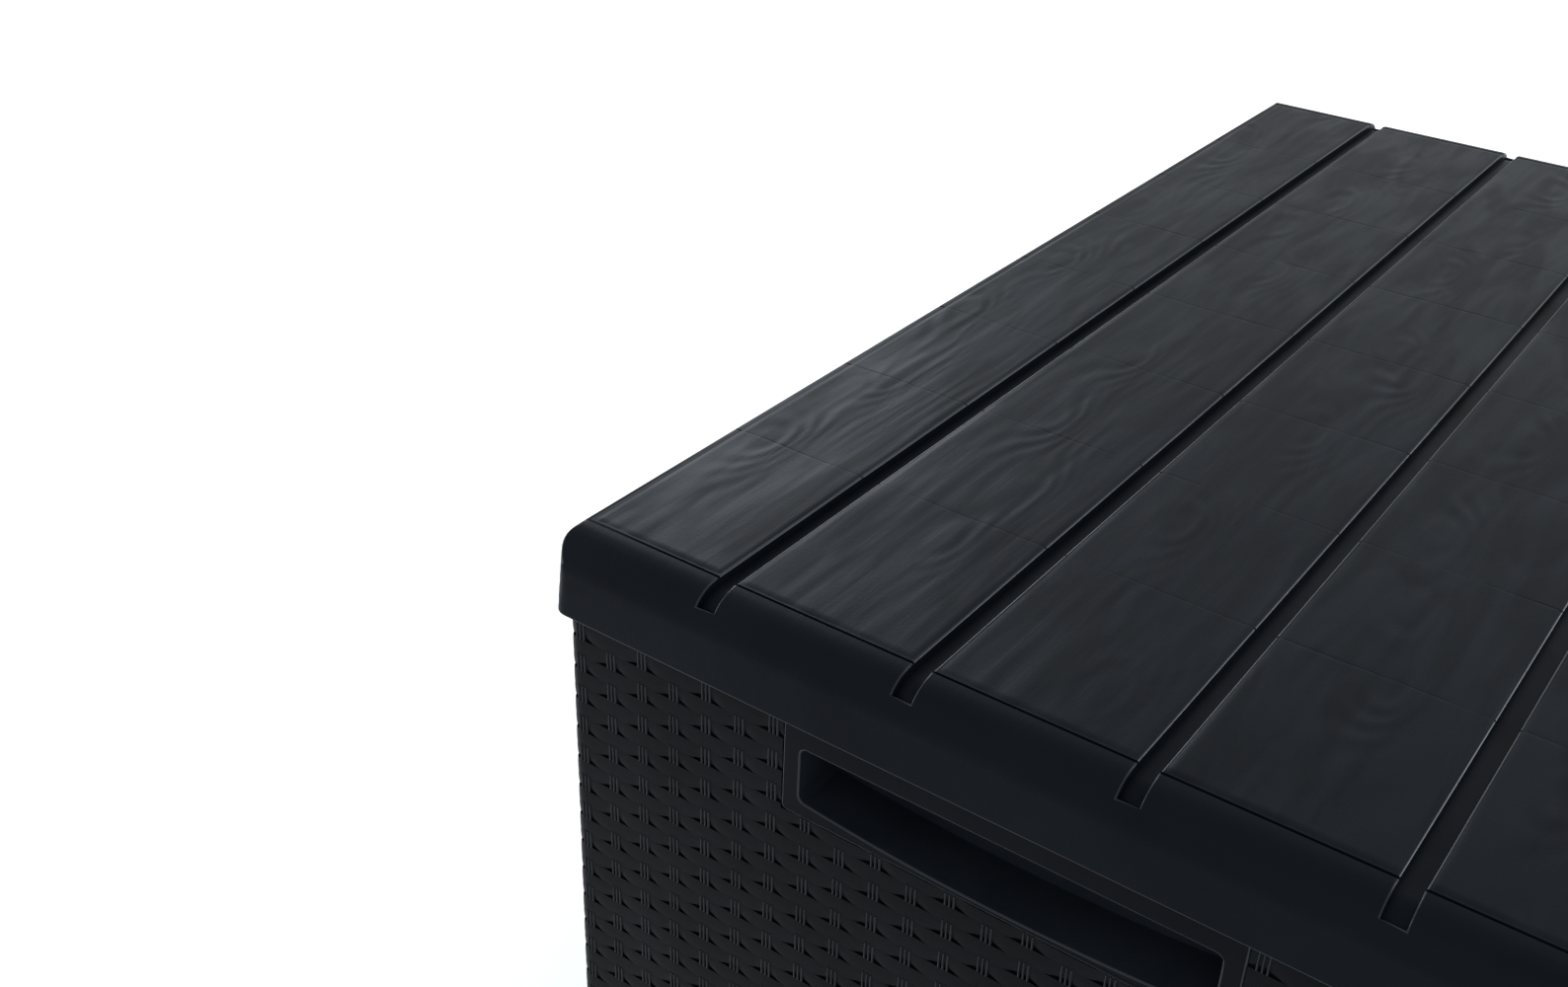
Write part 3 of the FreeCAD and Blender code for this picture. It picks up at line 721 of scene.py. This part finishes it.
def plank_spans():
    """Where each plank's face begins and ends in Y."""
    half_w = (lid_high[1] - lid_low[1]) / 2.0
    middle = plank_count / 2.0
    spans = []
    for index in range(plank_count):
        low = (index - middle) * plank_pitch + groove / 2.0
        high = (index + 1 - middle) * plank_pitch - groove / 2.0
        low = max(low, -half_w + long_rim)
        high = min(high, half_w - long_rim)
        spans.append((mid_y + low + plank_gap, mid_y + high - plank_gap))
    return spans


print("planks in Y", [[round(v, 1) for v in span] for span in plank_spans()])

# %% [markdown]
# Noise stretched along the plank gives the fibres, and a wave across it gives the year
# rings. Where a knot lies the wave is pushed aside, and so its lines arch round the knot.

# %% Knots and grain, sizes along the plank (x) and across it (y)
knot_half_x = 34.0
knot_half_y = 15.0
knot_wander = 34.0
ring_step = 10.0


def cloud(x, y, long, wide, layer):
    """Soft noise in about -1..1 with features of that size in X and Y."""
    return noise.noise(Vector((x / long, y / wide, layer)))


def knot_swell(x, y, index):
    """How near the knots of a plank are, in 0..1; there is about one knot to a seam."""
    swell = 0.0
    seed = index * 13
    tile = math.floor(x / seam_step)
    for step in (tile - 1, tile, tile + 1):
        shift = noise.noise(Vector((step * 3.7, seed * 1.9, 5.5)))
        side = noise.noise(Vector((step * 5.3, seed * 2.3, 15.5)))
        knot_x = (step + 0.5 + 0.9 * shift) * seam_step
        knot_y = mid_y + (index - 2.0) * plank_pitch + knot_wander * side
        away = ((x - knot_x) / knot_half_x) ** 2 + ((y - knot_y) / knot_half_y) ** 2
        swell += math.exp(-away)
    return min(swell, 1.0)


def grain(x, y, index):
    """Moulded wood grain: lines along the plank that arch round its knots."""
    seed = index * 13
    swell = knot_swell(x, y, index)
    warp = cloud(x, y, 130.0, 40.0, seed * 7.3)
    ring = y / ring_step + 2.9 * swell + 1.7 * warp
    wave = 0.5 + 0.5 * math.sin(2.0 * math.pi * ring)
    fine = cloud(x, y, 30.0, 3.4, seed * 5.7 + 9.0)
    ridge = cloud(x, y, 70.0, 7.5, seed * 4.3 + 51.0)
    broad = cloud(x, y, 60.0, 30.0, seed * 2.9 + 70.0)
    patch = cloud(x, y, 70.0, 30.0, seed + 21.0)
    shown = min(1.0, max(0.0, 0.12 + 0.75 * swell + 0.7 * patch))
    return max(0.42 * wave * shown + 0.13 * fine + 0.20 * ridge + 0.42 * broad + 0.3, 0.0)


# %% Build the plank faces
grain_height = 0.85
plank_edge = 1.2
face_lift = 0.05
sunk_edge = -0.25
seam_half = 0.5
seam_depth = 0.17
seam_bank = 0.03
grid_x = 2.2
grid_y = 1.7


def plank_columns(half):
    """Grid columns along the plank, with closer ones beside each fine cross seam."""
    seams = [step * seam_step for step in range(-3, 4)]
    columns = [s + d for s in seams for d in (-0.9, -0.4, 0.0, 0.4, 0.9)]
    count = int(2.0 * half / grid_x)
    for step in range(count + 1):
        x = -half + 2.0 * half * step / count
        if min(abs(x - s) for s in seams) > 1.8:
            columns.append(x)
    return sorted(columns), seams


def plank_height(x, y, index, edge, seam):
    """Height over the lid; edge and seam are the distances to the nearest ones. The
    outermost points lie inside the lid, so the plank's face has no open rim."""
    base = sunk_edge if edge < 0.02 else face_lift
    lift = grain(x, y, index) * grain_height * min(1.0, edge / plank_edge)
    if seam < seam_half:
        faint = 0.6 + 0.8 * cloud(x, y, 50.0, 22.0, 33.0)
        lift -= (seam_depth if seam < 0.1 else seam_bank) * faint
    return base + lift


def make_plank(index, low_y, high_y):
    deselect()
    half = end_line - 0.8
    columns, seams = plank_columns(half)
    rows = int((high_y - low_y) / grid_y)
    bpy.ops.mesh.primitive_grid_add(x_subdivisions=len(columns) - 1, y_subdivisions=rows,
                                    size=1.0)
    plank = bpy.context.object
    for vertex in plank.data.vertices:
        x = columns[round((vertex.co.x + 0.5) * (len(columns) - 1))]
        y = low_y + (vertex.co.y + 0.5) * (high_y - low_y)
        edge = min(y - low_y, high_y - y, half - abs(x))
        seam = min(abs(x - s) for s in seams)
        height = top_z + plank_height(x, y, index, edge, seam)
        vertex.co = Vector((x, y, height)) * MM
    plank.name = "plank_%d" % (index + 1)
    return plank


planks = [make_plank(i, low, high) for i, (low, high) in enumerate(plank_spans())]
for plank in planks:
    pick(plank)
    bpy.ops.object.shade_smooth()
    settle(plank)
    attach(plank, "lid")
    report(plank)

# %% [markdown]
# ## Dressing every part
# Each CAD part keeps its mesh and gets the procedural finish of its real material.

# %% Give every part its finish
finish = {
    "lid_shell": lid_resin, "lid_liner": inner_resin, "liner_screws": steel,
    "lid_bumpers": rubber, "left_end_panel": backing_resin,
    "right_end_panel": backing_resin, "front_panel": backing_resin,
    "rear_panel": backing_resin, "left_handle_cup": smooth_resin,
    "right_handle_cup": smooth_resin, "corner_keys": inner_resin, "corner_screws": steel,
    "base_tray": inner_resin, "base_feet": rubber, "body_hinge_left": smooth_resin,
    "body_hinge_right": smooth_resin, "lid_hinge_left": smooth_resin,
    "lid_hinge_right": smooth_resin, "hinge_pin_left": steel, "hinge_pin_right": steel,
    "body_hinge_screws": steel, "lid_hinge_screws": steel, "lock_lug": smooth_resin,
    "lock_lug_screws": steel, "lock_tab": smooth_resin, "lock_tab_screws": steel,
}


def dress(piece, material):
    piece.data.materials.clear()
    piece.data.materials.append(material)


for node, material in finish.items():
    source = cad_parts[node]
    for slot in source.material_slots:
        slot.link = "OBJECT"
        slot.material = material
for skin in strand_skins:
    dress(skin, weave_resin)
# The reeds take the finish with the painted highlight.
for skin in reed_skins:
    dress(skin, reed_highlight_resin)
dress(foot_band, weave_resin)
for plank in planks:
    dress(plank, plank_resin)
print("finished parts", len(finish))

# %% [markdown]
# ## Floor, light and camera
# A studio for dark resin: a white floor and white surroundings, one large soft lamp above
# and behind, so that the lid's far planks shine, and three fills, so that every wall
# shows its relief.

# %% Floor
deselect()
bpy.ops.mesh.primitive_plane_add(size=14.0, location=(0.0, 0.0, 0.0))
floor = bpy.context.object
floor.name = "studio_floor"
floor_material = bpy.data.materials.new("Matt white paper floor")
floor_material.use_nodes = True
paper = floor_material.node_tree
paper.nodes.clear()
paper_place = add(paper, "ShaderNodeTexCoord").outputs["Object"]
paper_cloud = add(paper, "ShaderNodeTexNoise", None,
                  {"Vector": paper_place, "Scale": 3.0, "Detail": 2.0})
paper_share = add(paper, "ShaderNodeMapRange", None,
                  {"Value": paper_cloud.outputs["Fac"], "From Min": 0.3, "From Max": 0.7})
paper_colour = add(paper, "ShaderNodeMix", {"data_type": "RGBA"},
                   {"Factor": paper_share.outputs["Result"], MIX_A: srgb("f6f6f6"),
                    MIX_B: srgb("fafafa")})
paper_shader = add(paper, "ShaderNodeBsdfPrincipled", None,
                   {"Base Color": paper_colour.outputs[MIX_RESULT], "Roughness": 0.9,
                    "Specular IOR Level": 0.1})
add(paper, "ShaderNodeOutputMaterial", None, {"Surface": paper_shader.outputs["BSDF"]})
floor.data.materials.append(floor_material)

# %% World and lamps
world = bpy.context.scene.world or bpy.data.worlds.new("Studio")
bpy.context.scene.world = world
world.use_nodes = True
sky = world.node_tree.nodes["Background"]
sky.inputs["Color"].default_value = (0.93, 0.97, 1.0, 1.0)
sky.inputs["Strength"].default_value = 1.08
bpy.context.scene.view_settings.view_transform = "Standard"
daylight = (0.88, 0.94, 1.0)


def soft_lamp(name, place, target, size, power):
    """A rectangle of light that faces its target; sizes in metres, power in watts."""
    data = bpy.data.lights.new(name, "AREA")
    data.shape = "RECTANGLE"
    data.size = size[0]
    data.size_y = size[1]
    data.energy = power
    data.color = daylight
    lamp = bpy.data.objects.new(name, data)
    bpy.context.scene.collection.objects.link(lamp)
    lamp.location = place
    aim = Vector(target) - Vector(place)
    lamp.rotation_euler = aim.to_track_quat("-Z", "Y").to_euler()


soft_lamp("top_rear_softbox", (1.5, 2.05, 1.5), (0.0, 0.0, 0.45), (1.5, 1.1), 27.0)
soft_lamp("front_fill", (-2.2, -0.9, 1.4), (0.0, 0.0, 0.2), (1.6, 1.6), 8.0)
soft_lamp("right_front_fill", (1.9, -1.9, 1.1), (0.0, 0.0, 0.2), (1.6, 1.6), 60.0)
soft_lamp("rear_fill", (-0.6, 2.6, 0.8), (0.0, 0.0, 0.2), (1.6, 1.0), 26.0)

# %% Camera
camera_data = bpy.data.cameras.new("camera")
camera = bpy.data.objects.new("camera", camera_data)
bpy.context.scene.collection.objects.link(camera)
camera_data.sensor_width = 36.0
camera_data.lens = 39.286
camera_data.clip_start = 0.01
camera.location = (-0.80623, -0.20118, 0.83182)
camera.rotation_euler = (math.radians(59.2888), math.radians(-1.7349),
                         math.radians(-53.6516))
bpy.context.scene.camera = camera
